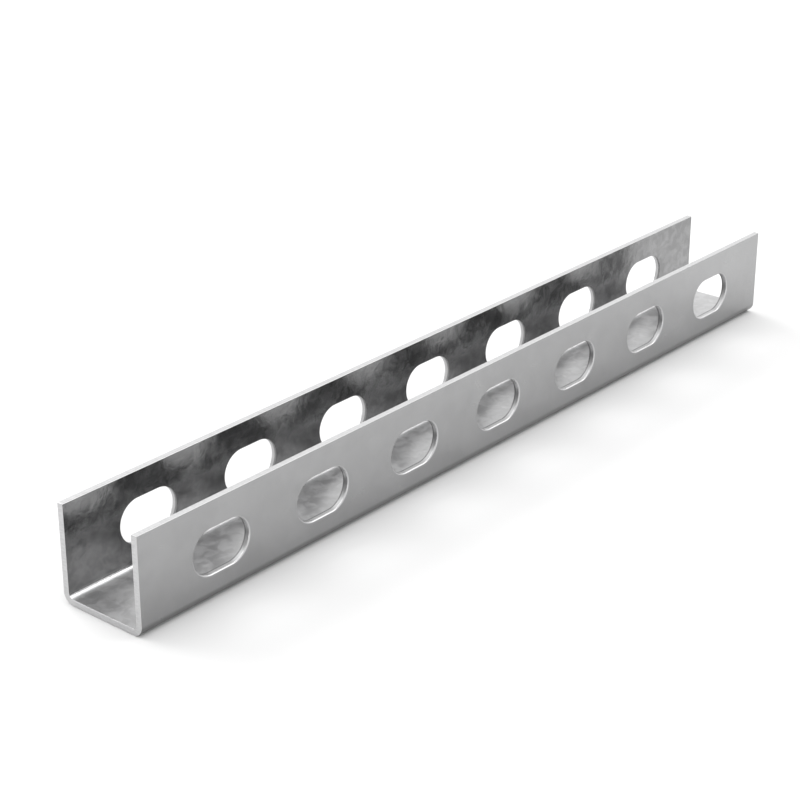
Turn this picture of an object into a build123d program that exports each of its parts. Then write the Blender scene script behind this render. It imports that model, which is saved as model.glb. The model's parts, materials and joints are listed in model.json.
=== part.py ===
from build123d import *
import os

# Slotted U channel, cold formed from one galvanized steel strip.
# X runs along the length, Y across the web and Z up out of the trough.
# Origin: centre of the underside of the web.

# Driving dimensions (mm)
length = 300.0          # cut length, along X
width = 30.0            # over the two flanges, along Y
height = 30.0           # underside of the web to the free edges of the flanges
wall = 2.0              # strip thickness
bend_inside = 1.5       # inside radius of both bends
slot_pitch = 40.0       # centre to centre along the channel
slots_per_flange = 7    # the first and last are centred 30 mm from the cut ends
slot_length = 21.0      # end to end, along X
slot_width = 13.5       # across the slot, along Z
slot_centre_z = 15.0    # mid height of the flange

bend_outside = bend_inside + wall
half = width / 2
inner = half - wall

with BuildPart() as channel:
    # Cross-section, drawn in the YZ plane at one cut end and run the full length.
    with BuildSketch(Plane.YZ.offset(-length / 2)):
        with BuildLine():
            # outside of the U: back flange, bend, web, bend, front flange
            Line((half, height), (half, bend_outside))
            RadiusArc((half, bend_outside), (half - bend_outside, 0), bend_outside)
            Line((half - bend_outside, 0), (-half + bend_outside, 0))
            RadiusArc((-half + bend_outside, 0), (-half, bend_outside), bend_outside)
            Line((-half, bend_outside), (-half, height))
            # free edge of the front flange
            Line((-half, height), (-inner, height))
            # inside of the U, back to the other free edge
            Line((-inner, height), (-inner, wall + bend_inside))
            RadiusArc(
                (-inner, wall + bend_inside), (-inner + bend_inside, wall), -bend_inside
            )
            Line((-inner + bend_inside, wall), (inner - bend_inside, wall))
            RadiusArc(
                (inner - bend_inside, wall), (inner, wall + bend_inside), -bend_inside
            )
            Line((inner, wall + bend_inside), (inner, height))
            Line((inner, height), (half, height))
        make_face()
    extrude(amount=length)

    # One row of round-ended slots, punched in line through both flanges.
    with BuildSketch(Plane.XZ.offset(-width)):
        with Locations((0, slot_centre_z)):
            with GridLocations(slot_pitch, 0, slots_per_flange, 1):
                SlotOverall(slot_length, slot_width)
    extrude(amount=2 * width, mode=Mode.SUBTRACT)

channel.part.label = "channel"

os.makedirs("parts", exist_ok=True)
export_step(channel.part, "parts/channel.step")

box = channel.part.bounding_box()
print("channel", box.min, box.max, "volume", round(channel.part.volume, 1))
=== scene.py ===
import json
import math

import bpy
import numpy as np
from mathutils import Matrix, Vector


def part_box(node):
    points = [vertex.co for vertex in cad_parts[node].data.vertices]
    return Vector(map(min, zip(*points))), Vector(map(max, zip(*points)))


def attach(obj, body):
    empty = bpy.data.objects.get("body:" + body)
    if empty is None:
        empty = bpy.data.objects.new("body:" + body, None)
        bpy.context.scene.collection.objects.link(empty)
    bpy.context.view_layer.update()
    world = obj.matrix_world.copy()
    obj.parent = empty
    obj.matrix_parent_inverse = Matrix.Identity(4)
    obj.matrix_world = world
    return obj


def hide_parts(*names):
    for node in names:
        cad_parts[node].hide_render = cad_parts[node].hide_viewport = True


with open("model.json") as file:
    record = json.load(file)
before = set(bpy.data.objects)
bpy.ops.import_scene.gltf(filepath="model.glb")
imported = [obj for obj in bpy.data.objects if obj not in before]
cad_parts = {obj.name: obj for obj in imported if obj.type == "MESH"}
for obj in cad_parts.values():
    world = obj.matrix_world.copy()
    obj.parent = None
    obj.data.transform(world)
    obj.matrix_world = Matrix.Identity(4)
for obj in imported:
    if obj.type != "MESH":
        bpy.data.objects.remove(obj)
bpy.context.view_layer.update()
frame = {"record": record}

# ---------------------------------------------------------------- sizes, from the frame
lo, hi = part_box("channel")
MM = 0.001
LENGTH = (hi.x - lo.x) / MM
WIDTH = (hi.y - lo.y) / MM
HEIGHT = (hi.z - lo.z) / MM
X0, Y0, Z0 = (lo.x + hi.x) / 2 / MM, (lo.y + hi.y) / 2 / MM, lo.z / MM
WALL = 2.0
BEND_IN = 1.5
BEND_OUT = BEND_IN + WALL

# the slots are the record's own bolt patterns, so their size and pitch come from there
slots = [m for m in frame["record"]["mounts"] if m["kind"] == "bolt_pattern"]
SLOT_R = slots[0]["dims"]["hole_r_mm"]
SLOT_L = slots[0]["dims"]["slot_length_mm"]
SLOT_Z = slots[0]["pos_m"][2] / MM
PITCH = min(m["dims"]["spacing_x_mm"] for m in slots)
N_SLOTS = 7

# ---------------------------------------------------------------- the channel's mesh
# One closed sheet-metal skin in millimetres: a U section swept along X, with a ring of quads
# round each slot, a rolled-over edge where the punch went in, a broken-out edge where it came
# out, and small radii on the slit and the sawn edges.
R_FREE_OUT, R_FREE_IN = 0.22, 0.34      # slit edges of the strip
R_END = 0.16                            # sawn ends, deburred
ROLL_R, ROLL_D = 0.50, 0.38             # punch roll-over: across the face, and into the wall
BREAK_D, BREAK_R = 0.55, 0.07           # break-out zone of the wall on the die side
BURR = 0.06

half_w = WIDTH / 2
inner_w = half_w - WALL
N_BEND = 14
N_ROW = 16                              # rows of quads up a flange, beside a slot
N_COL = 32                              # columns of quads along a slot's cell


def section():
    """The closed outline of the U: (y, z, normal y, normal z, cut), the outer skin from the front free edge to
    the back one, and then the inner skin back again. Also the index ranges of the parts."""
    pts = []

    def add(y, z, ny, nz, cut=0.0):
        pts.append((y, z, ny, nz, cut))

    ranges = {}
    top_out = HEIGHT - R_FREE_OUT
    top_in = HEIGHT - R_FREE_IN
    # outer skin of the front flange, downwards
    start = len(pts)
    for i in range(N_ROW + 1):
        add(-half_w, top_out + (BEND_OUT - top_out) * i / N_ROW, -1, 0)
    ranges["front_out"] = (start, len(pts) - 1)
    for i in range(1, N_BEND + 1):
        a = math.pi / 2 * i / N_BEND
        add(-half_w + BEND_OUT - BEND_OUT * math.cos(a), BEND_OUT - BEND_OUT * math.sin(a), -math.cos(a), -math.sin(a))
    n_web = 8
    w = half_w - BEND_OUT
    for i in range(1, n_web + 1):
        add(-w + 2 * w * i / n_web, 0, 0, -1)
    for i in range(1, N_BEND + 1):
        a = math.pi / 2 * i / N_BEND
        add(half_w - BEND_OUT + BEND_OUT * math.sin(a), BEND_OUT - BEND_OUT * math.cos(a), math.sin(a), -math.cos(a))
    start = len(pts) - 1
    for i in range(1, N_ROW + 1):
        add(half_w, BEND_OUT + (top_out - BEND_OUT) * i / N_ROW, 1, 0)
    ranges["back_out"] = (start, len(pts) - 1)
    ranges["outer"] = (0, len(pts) - 1)
    # slit edge at the top of the back flange
    n_r = 5
    for i in range(1, n_r + 1):
        a = math.pi / 2 * i / n_r
        add(half_w - R_FREE_OUT + R_FREE_OUT * math.cos(a), HEIGHT - R_FREE_OUT + R_FREE_OUT * math.sin(a), math.cos(a), math.sin(a), i / n_r)
    for i in range(0, n_r):
        a = math.pi / 2 * i / n_r
        add(inner_w + R_FREE_IN - R_FREE_IN * math.sin(a), HEIGHT - R_FREE_IN + R_FREE_IN * math.cos(a), -math.sin(a), math.cos(a), 1 - i / n_r)
    # inner skin, back flange downwards
    start = len(pts)
    for i in range(N_ROW + 1):
        add(inner_w, top_in + (BEND_OUT - top_in) * i / N_ROW, -1, 0)
    ranges["back_in"] = (start, len(pts) - 1)
    for i in range(1, N_BEND + 1):
        a = math.pi / 2 * i / N_BEND
        add(inner_w - BEND_IN + BEND_IN * math.cos(a), BEND_OUT - BEND_IN * math.sin(a), -math.cos(a), math.sin(a))
    w = inner_w - BEND_IN
    for i in range(1, n_web + 1):
        add(w - 2 * w * i / n_web, WALL, 0, 1)
    for i in range(1, N_BEND + 1):
        a = math.pi / 2 * i / N_BEND
        add(-inner_w + BEND_IN - BEND_IN * math.sin(a), BEND_OUT - BEND_IN * math.cos(a), math.sin(a), math.cos(a))
    start = len(pts) - 1
    for i in range(1, N_ROW + 1):
        add(-inner_w, BEND_OUT + (top_in - BEND_OUT) * i / N_ROW, 1, 0)
    ranges["front_in"] = (start, len(pts) - 1)
    for i in range(1, n_r + 1):
        a = math.pi / 2 * i / n_r
        add(-inner_w - R_FREE_IN + R_FREE_IN * math.cos(a), HEIGHT - R_FREE_IN + R_FREE_IN * math.sin(a), math.cos(a), math.sin(a), i / n_r)
    for i in range(0, n_r):
        a = math.pi / 2 * i / n_r
        add(-half_w + R_FREE_OUT - R_FREE_OUT * math.sin(a), HEIGHT - R_FREE_OUT + R_FREE_OUT * math.cos(a), -math.sin(a), math.cos(a), 1 - i / n_r)
    return pts, ranges


def slot_outline(n_col, n_row, grow):
    """Points of the slot's outline, grown outwards, in step with the cell's own border: along the bottom from the
    left, up the right side, back along the top and down the left side. Also the outward normals."""
    r, s = SLOT_R + grow, SLOT_L / 2 - SLOT_R
    phi = math.radians(48)

    def walk(t):
        """t from 0 to 1 along the bottom part: arc, straight, arc."""
        corner = SLOT_R * (math.pi / 2 - phi)
        total = 2 * corner + 2 * s
        d = t * total
        if d < corner:
            a = -math.pi / 2 - (corner - d) / SLOT_R
            return -s, a
        if d > corner + 2 * s:
            a = -math.pi / 2 + (d - corner - 2 * s) / SLOT_R
            return s, a
        return -s + (d - corner), -math.pi / 2

    out = []
    for i in range(n_col):
        c, a = walk(i / n_col)
        out.append((c + r * math.cos(a), r * math.sin(a), math.cos(a), math.sin(a)))
    for i in range(n_row):
        a = -phi + 2 * phi * i / n_row
        out.append((s + r * math.cos(a), r * math.sin(a), math.cos(a), math.sin(a)))
    for i in range(n_col):
        c, a = walk(i / n_col)
        out.append((-c - r * math.cos(a), -r * math.sin(a), -math.cos(a), -math.sin(a)))
    for i in range(n_row):
        a = math.pi - phi + 2 * phi * i / n_row
        out.append((-s + r * math.cos(a), r * math.sin(a), math.cos(a), math.sin(a)))
    return out


class Skin:
    def __init__(self):
        self.co, self.no, self.faces, self.key = [], [], [], {}
        self.marks = {name: [] for name in ("cut", "rim", "punched", "bend", "web", "inside")}

    def vert(self, p, n, key=None, **marks):
        if key is not None and key in self.key:
            return self.key[key]
        self.co.append((p[0] + X0, p[1] + Y0, p[2] + Z0))
        length = math.sqrt(sum(c * c for c in n)) or 1.0
        self.no.append(tuple(c / length for c in n))
        for name, values in self.marks.items():
            values.append(marks.get(name, 0.0))
        i = len(self.co) - 1
        if key is not None:
            self.key[key] = i
        return i

    def face(self, *ids):
        # wound so that the face looks the way its vertices' normals do
        p = [np.array(self.co[i]) for i in ids]
        n = np.zeros(3)
        for a in range(len(p)):
            n += np.cross(p[a], p[(a + 1) % len(p)])
        want = np.sum([self.no[i] for i in ids], axis=0)
        self.faces.append(ids if float(n @ want) > 0 else tuple(reversed(ids)))


def build_channel():
    pts, ranges = section()
    m = len(pts)
    skin = Skin()
    # columns along X: an end strip, the slots' cells and the other end strip
    first = -PITCH * N_SLOTS / 2
    x_in = LENGTH / 2 - R_END
    n_end = 8
    xs = [-x_in + (first + x_in) * i / n_end for i in range(n_end)]
    cells = []
    for k in range(N_SLOTS):
        cells.append(len(xs))
        xs += [first + PITCH * k + PITCH * i / N_COL for i in range(N_COL)]
    xs += [-first + (x_in + first) * i / n_end for i in range(n_end + 1)]
    n_x = len(xs)
    in_cell = [False] * (n_x - 1)
    for c in cells:
        for i in range(c, c + N_COL):
            in_cell[i] = True
    flats = [ranges[r] for r in ("front_out", "back_out", "back_in", "front_in")]

    def v(i, j):
        y, z, ny, nz, cut = pts[j % m]
        low = z <= BEND_OUT
        bend = math.copysign(min(1.0, 2.4 * abs(ny * nz)), nz) if low else 0.0  # inside of the bend +, outside -
        web = max(nz, 0.0) ** 2 if low else 0.0
        inside = 1.0 if abs(y) < half_w - 0.5 and z > WALL - 0.01 else 0.0
        return skin.vert((xs[i], y, z), (0, ny, nz), ("g", i, j % m), cut=cut, rim=cut, bend=bend, web=web, inside=inside)

    for i in range(n_x - 1):
        for j in range(m):
            if in_cell[i] and any(a <= j < b for a, b in flats):
                continue
            skin.face(v(i, j), v(i + 1, j), v(i + 1, (j + 1) % m), v(i, (j + 1) % m))

    # the slots
    n_ring = 7
    for k in range(N_SLOTS):
        c0, xc = cells[k], first + PITCH * (k + 0.5)
        for flange, y_out, y_in, sign in (("front", -half_w, -inner_w, -1), ("back", half_w, inner_w, 1)):
            loops = []  # one loop of vertices for each step through the wall
            for which, y, grow, ny in (("out", y_out, ROLL_R, sign), ("in", y_in, BREAK_R + BURR, -sign)):
                a, b = ranges[f"{flange}_{which}"]
                # this flat's section points, sorted from the bend up to the free edge
                rows = list(range(a, b + 1))
                rows.sort(key=lambda j: pts[j][1])
                border = [v(c0 + i, rows[0]) for i in range(N_COL)]
                border += [v(c0 + N_COL, rows[i]) for i in range(N_ROW)]
                border += [v(c0 + N_COL - i, rows[-1]) for i in range(N_COL)]
                border += [v(c0, rows[N_ROW - i]) for i in range(N_ROW)]
                outline = slot_outline(N_COL, N_ROW, grow)
                previous = border
                for r in range(1, n_ring + 1):
                    t = (r / n_ring) ** 0.6
                    loop = []
                    for q, (ox, oz, nx, nz) in enumerate(outline):
                        bx, _, bz = skin.co[border[q]]
                        bx, bz = bx - X0, bz - Z0
                        px, pz = xc + ox, SLOT_Z + oz
                        x, z = bx + (px - bx) * t, bz + (pz - bz) * t
                        loop.append(skin.vert((x, y, z), (0, ny, 0), inside=float(which == "in")))
                    for q in range(len(outline)):
                        p = (q + 1) % len(outline)
                        skin.face(previous[q], previous[p], loop[p], loop[q])
                    previous = loop
                loops.append(previous)
            out_loop, in_loop = loops

            def wall(grow, depth, nr, ny, punched, rim):
                """A loop of the slot's wall: grown by that much, that deep below the outer skin. nr points into the slot."""
                y = y_out - sign * depth
                return [
                    skin.vert((xc + ox, y, SLOT_Z + oz), (-nx * nr, ny * sign, -nz * nr), punched=punched, rim=rim)
                    for ox, oz, nx, nz in slot_outline(N_COL, N_ROW, grow)
                ]

            steps = [out_loop]
            n_roll = 6
            for i in range(1, n_roll + 1):
                a = math.pi / 2 * i / n_roll
                steps.append(wall(ROLL_R * (1 - math.sin(a)), ROLL_D * (1 - math.cos(a)), math.sin(a), math.cos(a), 0.5 * (i / n_roll) ** 2, min(1.0, 2 * i / n_roll)))
            steps.append(wall(0.0, ROLL_D + 0.25, 1, 0, 0.5, 0.0))
            steps.append(wall(0.0, WALL - BREAK_D - 0.05, 1, 0, 0.5, 0.0))
            steps.append(wall(0.01, WALL - BREAK_D, 1, -0.05, 1.0, 0.0))
            steps.append(wall(BREAK_R, WALL - BURR, 1, -0.12, 1.0, 0.0))
            steps.append(in_loop)
            for one, two in zip(steps, steps[1:]):
                n = len(one)
                for q in range(n):
                    p = (q + 1) % n
                    skin.face(one[q], one[p], two[p], two[q])

    # the sawn ends: a small radius all round, then the cut face
    for i, sx in ((0, -1), (n_x - 1, 1)):
        previous = [v(i, j) for j in range(m)]
        n_r = 4
        for s in range(1, n_r + 1):
            a = math.pi / 2 * s / n_r
            back, along = R_END * (1 - math.cos(a)), R_END * math.sin(a)
            loop = []
            for j in range(m):
                y, z, ny, nz, _ = pts[j]
                loop.append(
                    skin.vert(
                        (xs[i] + sx * along, y - ny * back, z - nz * back),
                        (sx * math.sin(a), ny * math.cos(a), nz * math.cos(a)),
                        cut=s / n_r, rim=1.0,
                    )
                )
            for j in range(m):
                skin.face(previous[j], previous[(j + 1) % m], loop[(j + 1) % m], loop[j])
            previous = loop
        # quads across the thickness, from the front free edge round to the back one
        o0, o1 = ranges["outer"]
        b0 = ranges["back_in"][0]
        n_out = o1 - o0 + 1
        f1 = ranges["front_in"][1]
        for j in range(n_out - 1):
            a, b = j, j + 1
            c, d = f1 - j, f1 - j - 1
            skin.face(previous[a], previous[b], previous[d], previous[c])
        skin.face(*[previous[j] for j in range(o1, b0 + 1)])
        skin.face(*[previous[j % m] for j in range(f1, m + 1)])
    return skin


skin = build_channel()
used = sorted({i for f in skin.faces for i in f})
remap = {old: new for new, old in enumerate(used)}
mesh = bpy.data.meshes.new("channel_steel")
co = np.array([skin.co[i] for i in used]) * MM
mesh.from_pydata(co.tolist(), [], [tuple(remap[i] for i in f) for f in skin.faces])
for name, values in skin.marks.items():
    attribute = mesh.attributes.new(name, "FLOAT", "POINT")
    attribute.data.foreach_set("value", np.array([values[i] for i in used], np.float32))
mesh.validate()
mesh.shade_smooth()
mesh.normals_split_custom_set_from_vertices([skin.no[i] for i in used])
channel = bpy.data.objects.new("channel_steel", mesh)
bpy.context.scene.collection.objects.link(channel)
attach(channel, "root")
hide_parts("channel")


# ---------------------------------------------------------------- materials
def nodes_of(material):
    material.use_nodes = True
    tree = material.node_tree
    tree.nodes.clear()
    return tree


def add(tree, kind, **values):
    node = tree.nodes.new(kind)
    for key, value in values.items():
        if key.startswith("in_"):
            node.inputs[key[3:].replace("_", " ")].default_value = value
        else:
            setattr(node, key, value)
    return node


steel = bpy.data.materials.new("galvanized_steel")
t = nodes_of(steel)
out = add(t, "ShaderNodeOutputMaterial")
bsdf = add(t, "ShaderNodeBsdfPrincipled")
t.links.new(bsdf.outputs[0], out.inputs[0])
bsdf.inputs["Metallic"].default_value = 1.0

# places on the steel, in millimetres of its own frame
place = add(t, "ShaderNodeTexCoord")
to_mm = add(t, "ShaderNodeMapping", vector_type="POINT")
to_mm.inputs["Scale"].default_value = (1000, 1000, 1000)
t.links.new(place.outputs["Object"], to_mm.inputs["Vector"])
mm = to_mm.outputs[0]


def noise(scale, detail=2.0, rough=0.5, distortion=0.0, vector=None, stretch=None):
    if stretch is not None:
        m = add(t, "ShaderNodeMapping", vector_type="POINT")
        m.inputs["Scale"].default_value = stretch
        t.links.new(vector or mm, m.inputs["Vector"])
        vector = m.outputs[0]
    n = add(t, "ShaderNodeTexNoise")
    n.inputs["Scale"].default_value = scale
    n.inputs["Detail"].default_value = detail
    n.inputs["Roughness"].default_value = rough
    n.inputs["Distortion"].default_value = distortion
    t.links.new(vector or mm, n.inputs["Vector"])
    return n


def ramp(value, x0, x1, y0=0.0, y1=1.0, smooth=True):
    r = add(t, "ShaderNodeMapRange", interpolation_type="SMOOTHSTEP" if smooth else "LINEAR")
    for key, number in (("From Min", x0), ("From Max", x1), ("To Min", y0), ("To Max", y1)):
        r.inputs[key].default_value = number
    t.links.new(value, r.inputs["Value"])
    return r.outputs[0]


def math_(op, a, b=None, clamp=False):
    n = add(t, "ShaderNodeMath", operation=op, use_clamp=clamp)
    for i, value in enumerate((a, b)):
        if value is None:
            continue
        if isinstance(value, (int, float)):
            n.inputs[i].default_value = value
        else:
            t.links.new(value, n.inputs[i])
    return n.outputs[0]


def blend(factor, a, b):
    """a where factor is 0, b where it is 1, as numbers."""
    n = add(t, "ShaderNodeMix", data_type="FLOAT")
    for i, value in ((0, factor), (2, a), (3, b)):
        if isinstance(value, (int, float)):
            n.inputs[i].default_value = value
        else:
            t.links.new(value, n.inputs[i])
    return n.outputs[0]


# zinc spangle: frozen cells a few millimetres across, each tilted its own way, with soft borders
wander = noise(0.22, 1.0, 0.5)
shift = add(t, "ShaderNodeVectorMath", operation="MULTIPLY_ADD")
t.links.new(wander.outputs["Color"], shift.inputs[0])
shift.inputs[1].default_value = (6.0, 6.0, 6.0)
t.links.new(mm, shift.inputs[2])
cells = add(t, "ShaderNodeTexVoronoi", feature="SMOOTH_F1")
cells.inputs["Scale"].default_value = 0.20
cells.inputs["Smoothness"].default_value = 0.8
t.links.new(shift.outputs[0], cells.inputs["Vector"])
cell_tone = add(t, "ShaderNodeSeparateColor")
t.links.new(cells.outputs["Color"], cell_tone.inputs[0])
spangle = cell_tone.outputs[0]

# soft clouds over it, a finer frosting, and the faint lines of rolling along the strip
clouds = ramp(noise(0.13, 3.0, 0.5, 0.6).outputs[0], 0.34, 0.66)
patches = ramp(noise(0.30, 2.0, 0.5, 0.8).outputs[0], 0.34, 0.66)
frost = ramp(noise(1.6, 2.0, 0.5, 0.2).outputs[0], 0.3, 0.7)
drawn = ramp(noise(1.0, 3.0, 0.5, 0.0, stretch=(0.02, 0.9, 0.9)).outputs[0], 0.3, 0.7)
mottle = math_("ADD", math_("MULTIPLY", clouds, 0.40), math_("ADD", math_("MULTIPLY", spangle, 0.35), math_("MULTIPLY", patches, 0.25)))

cut = add(t, "ShaderNodeAttribute", attribute_name="cut").outputs["Fac"]
rim = add(t, "ShaderNodeAttribute", attribute_name="rim").outputs["Fac"]
punched = add(t, "ShaderNodeAttribute", attribute_name="punched").outputs["Fac"]
bend = add(t, "ShaderNodeAttribute", attribute_name="bend").outputs["Fac"]
inside = add(t, "ShaderNodeAttribute", attribute_name="inside").outputs["Fac"]
height = add(t, "ShaderNodeSeparateXYZ")
t.links.new(mm, height.inputs[0])
height = height.outputs[2]
web = add(t, "ShaderNodeAttribute", attribute_name="web").outputs["Fac"]

BASE = 0.36
# the outside was rubbed almost even, while the inside keeps its clouds
tone = math_("MULTIPLY", ramp(mottle, 0.2, 0.8, 0.97, 1.03, smooth=False), BASE)
blotch = math_("ADD", math_("MULTIPLY", patches, 0.6), math_("MULTIPLY", spangle, 0.4))
tone = blend(inside, tone, math_("MULTIPLY", tone, ramp(blotch, 0.15, 0.85, 0.89, 1.11, smooth=False)))
# painted shade: the inside of the trough is darkened to 0.8 of the outside's tone
tone = math_("MULTIPLY", tone, ramp(inside, 0.0, 1.0, 1.0, 0.80, smooth=False))
# painted light: the inner face of the web is lightened up to 1.75 times, standing in for the light it catches at the
# bottom of the trough
tone = math_("MULTIPLY", tone, ramp(web, 0.0, 1.0, 1.0, 1.75, smooth=False))
# painted shade: the outside of the flanges is darker towards the bottom, near the bend, and a little lighter towards
# the top
tone = math_("MULTIPLY", tone, blend(inside, ramp(height, 2.0, 26.0, 0.88, 1.06), 1.0))
# painted highlight inside the bends, whose tone is lightened up to 1.8 times, and painted shade outside the bends,
# whose tone is darkened to half
tone = math_("MULTIPLY", tone, ramp(bend, 0.0, 1.0, 1.0, 1.8, smooth=False))
tone = math_("MULTIPLY", tone, ramp(bend, -1.0, 0.0, 0.5, 1.0, smooth=False))
# the punched walls: a burnished land, then the darker torn zone towards the inside
tone = blend(ramp(punched, 0.0, 0.5, 0.0, 1.0), tone, ramp(punched, 0.5, 1.0, BASE * 1.25, BASE * 0.7))
# painted highlight: the rolled-over rims of the slots, the slit edges and the rounded sawn ends are blended most of
# the way to 1.9 times the base tone
tone = blend(math_("MULTIPLY", rim, 0.8), tone, BASE * 1.9)
# sheared and sawn metal: brighter, with fine marks through the thickness
marks = noise(2.2, 3.0, 0.6, 0.0, stretch=(1.0, 0.25, 1.0)).outputs[0]
tone = blend(cut, tone, ramp(marks, 0.3, 0.7, BASE * 1.35, BASE * 1.65, smooth=False))
gray = add(t, "ShaderNodeCombineColor")
t.links.new(tone, gray.inputs[0])
t.links.new(tone, gray.inputs[1])
t.links.new(math_("MULTIPLY", tone, 1.006), gray.inputs[2])
t.links.new(gray.outputs[0], bsdf.inputs["Base Color"])

rough = ramp(mottle, 0.2, 0.8, 0.15, 0.25, smooth=False)
rough = math_("ADD", rough, math_("MULTIPLY", drawn, 0.015))
rough = math_("ADD", rough, math_("MULTIPLY", frost, 0.015))
rough = math_("SUBTRACT", rough, math_("MULTIPLY", inside, 0.02))
rough = blend(web, rough, ramp(blotch, 0.15, 0.85, 0.34, 0.46, smooth=False))  # the web keeps its frosted zinc
rough = blend(ramp(punched, 0.0, 0.5, 0.0, 1.0), rough, ramp(punched, 0.5, 1.0, 0.36, 0.5))
rough = blend(rim, rough, 0.24)
rough = blend(cut, rough, 0.38)
t.links.new(rough, bsdf.inputs["Roughness"])

# relief: the cells stand a few microns proud, the sheet is never quite flat
relief = math_("ADD", math_("MULTIPLY", clouds, 0.7), math_("ADD", math_("MULTIPLY", spangle, 0.3), math_("MULTIPLY", patches, 0.3)))
relief = math_("ADD", relief, math_("ADD", math_("MULTIPLY", drawn, 0.015), math_("MULTIPLY", frost, 0.012)))
bump = add(t, "ShaderNodeBump")
bump.inputs["Strength"].default_value = 1.0
bump.inputs["Distance"].default_value = 0.00003
t.links.new(relief, bump.inputs["Height"])
t.links.new(bump.outputs[0], bsdf.inputs["Normal"])
mesh.materials.append(steel)

# ---------------------------------------------------------------- stage
floor_mesh = bpy.data.meshes.new("floor")
s = 4.0
floor_mesh.from_pydata([(-s, -s, 0), (s, -s, 0), (s, s, 0), (-s, s, 0)], [], [(0, 1, 2, 3)])
floor = bpy.data.objects.new("floor", floor_mesh)
floor.location.z = lo.z - 0.00005
bpy.context.scene.collection.objects.link(floor)
pale = bpy.data.materials.new("pale_floor")
t = nodes_of(pale)
out = add(t, "ShaderNodeOutputMaterial")
d = add(t, "ShaderNodeBsdfDiffuse")
d.inputs["Color"].default_value = (0.8, 0.8, 0.8, 1)
t.links.new(d.outputs[0], out.inputs[0])
floor_mesh.materials.append(pale)

world = bpy.data.worlds.new("studio")
bpy.context.scene.world = world
world.use_nodes = True
world.node_tree.nodes["Background"].inputs[0].default_value = (1, 1, 1, 1)
world.node_tree.nodes["Background"].inputs[1].default_value = 1.0



def softbox(name, azimuth, elevation, distance, width, height, power):
    """A plain panel light, round the part at an azimuth from +X towards +Y, turned to face it."""
    a, e = math.radians(azimuth), math.radians(elevation)
    data = bpy.data.lights.new(name, "AREA")
    data.shape = "RECTANGLE"
    data.size, data.size_y, data.energy = width, height, power
    lamp = bpy.data.objects.new(name, data)
    lamp.location = Vector((math.cos(e) * math.cos(a), math.cos(e) * math.sin(a), math.sin(e))) * distance
    lamp.rotation_mode = "QUATERNION"
    lamp.rotation_quaternion = (-lamp.location).to_track_quat("-Z", "Y")
    lamp.visible_camera = False
    bpy.context.scene.collection.objects.link(lamp)


softbox("rear", 92, 24, 3.0, 2.8, 2.4, 67)
softbox("rear_right", 42, 20, 3.0, 1.8, 1.8, 4.5)
softbox("overhead", 90, 85, 2.6, 3.0, 3.0, 14)
softbox("key", 322, 42, 3.0, 1.8, 1.6, 14)
softbox("right", 0, 40, 3.0, 1.6, 3.0, 5)

bpy.context.scene.view_settings.view_transform = "Standard"
bpy.context.scene.view_settings.look = "None"

# ---------------------------------------------------------------- camera
AZ, EL = math.radians(-49.782), math.radians(24.159)
back = Vector((math.sin(AZ) * math.cos(EL), -math.cos(AZ) * math.cos(EL), math.sin(EL)))
right = Vector((0, 0, 1)).cross(back).normalized()
up = back.cross(right)
cam_data = bpy.data.cameras.new("camera")
cam = bpy.data.objects.new("camera", cam_data)
bpy.context.scene.collection.objects.link(cam)
corner = Vector((lo.x, lo.y, lo.z))
cam.location = corner + (right * 66.645 + up * 61.932 + back * 530.036) * MM
cam.rotation_mode = "QUATERNION"
cam.rotation_quaternion = (-back).to_track_quat("-Z", "Y")
cam_data.sensor_width = 36
cam_data.lens = 2051.63 * 36 / 800
cam_data.clip_start, cam_data.clip_end = 0.01, 50
bpy.context.scene.camera = cam

bpy.context.view_layer.update()
